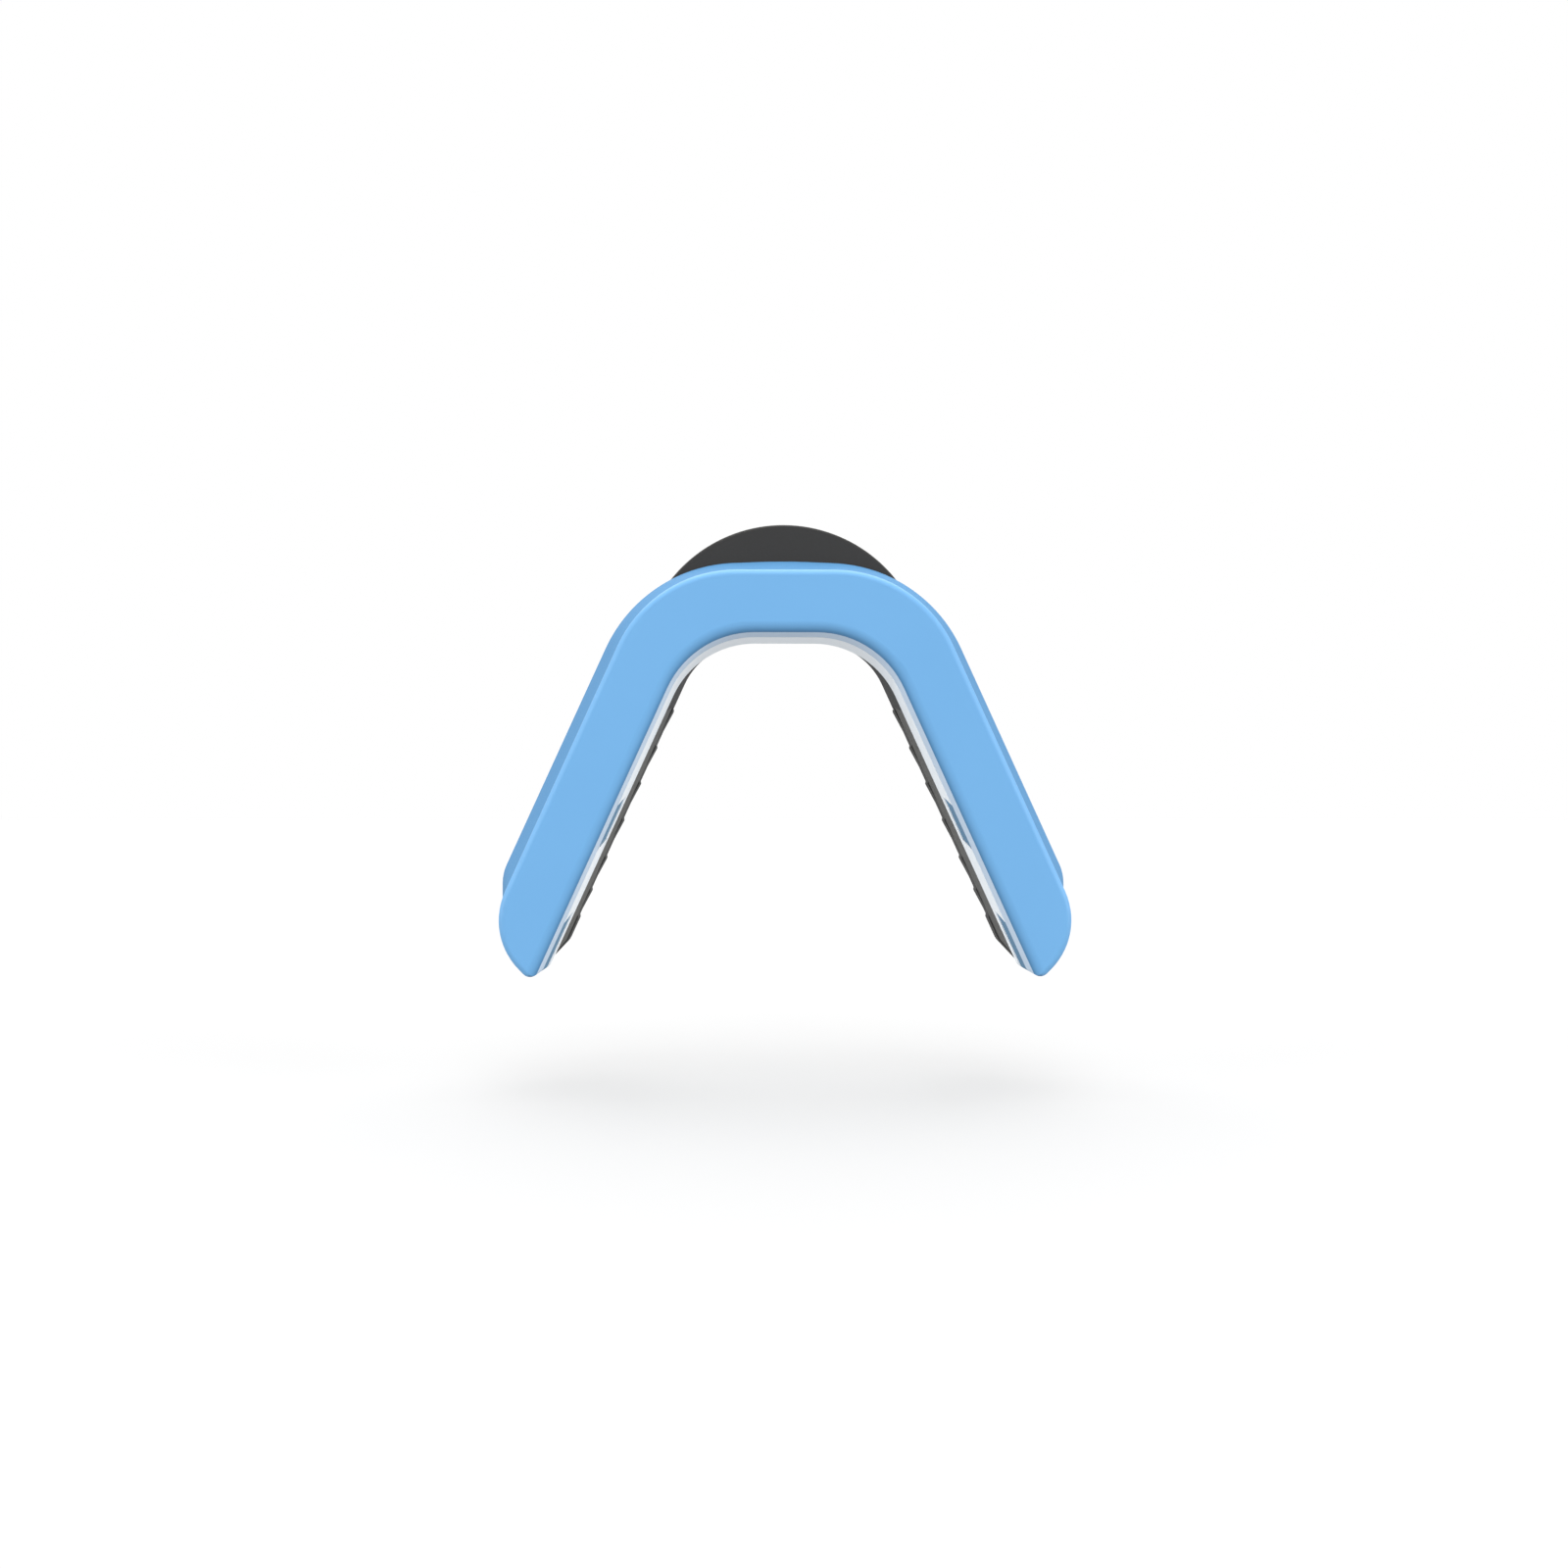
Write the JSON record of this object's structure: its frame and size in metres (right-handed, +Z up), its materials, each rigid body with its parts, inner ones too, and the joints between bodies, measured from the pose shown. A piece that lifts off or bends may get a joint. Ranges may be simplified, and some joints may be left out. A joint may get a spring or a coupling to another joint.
{
  "type": "impression tray",
  "caption": "Arch-shaped dental impression tray with a flared outer flange, a windowed inner wall, ribbed soft rims and a domed finger tab.",
  "frame": {"origin": "midway between the two feet and midway through the depth, on the ground plane", "axes": "+X to the right, +Y from the floor plate's front face towards the rims, +Z up from the feet to the arch"},
  "size_m": [0.077, 0.022, 0.0605],
  "materials": {
    "plate_blue": "injection-moulded polystyrene, soft gloss",
    "flange_blue": "injection-moulded polystyrene, soft gloss",
    "backing_blue": "injection-moulded polystyrene, deeper blue, soft gloss",
    "edge_trim_pale": "pale overmoulded edging, satin",
    "liner_white": "white moulded polypropylene, satin",
    "frame_black": "black moulded nylon, matt",
    "rim_grey": "grey soft elastomer strip, fine grain",
    "nub_rubber": "dark soft elastomer, matt",
    "tab_charcoal": "charcoal moulded nylon, matt",
    "pin_steel": "turned steel pin"
  },
  "bodies": {
    "tray": {"floor_plate": "plate_blue", "inner_edge_trim": "edge_trim_pale", "outer_flange": "flange_blue", "inner_flange": "backing_blue", "window_liner": "liner_white", "liner_pegs": "liner_white"},
    "insert": {"rear_frame": "frame_black", "left_rim_strip": "rim_grey", "right_rim_strip": "rim_grey", "left_nub_strip": "nub_rubber", "right_nub_strip": "nub_rubber", "strip_pegs": "frame_black", "frame_pins": "pin_steel"},
    "tab": {"finger_tab": "tab_charcoal", "tab_pins": "pin_steel"}
  },
  "joints": [
    {"name": "insert_pull", "type": "slide", "parent": "tray", "child": "insert", "axis": [0, 1, 0], "range_m": [0, 0.004]},
    {"name": "tab_pull", "type": "slide", "parent": "tray", "child": "tab", "axis": [0, 1, 0], "range_m": [0, 0.0055]}
  ]
}
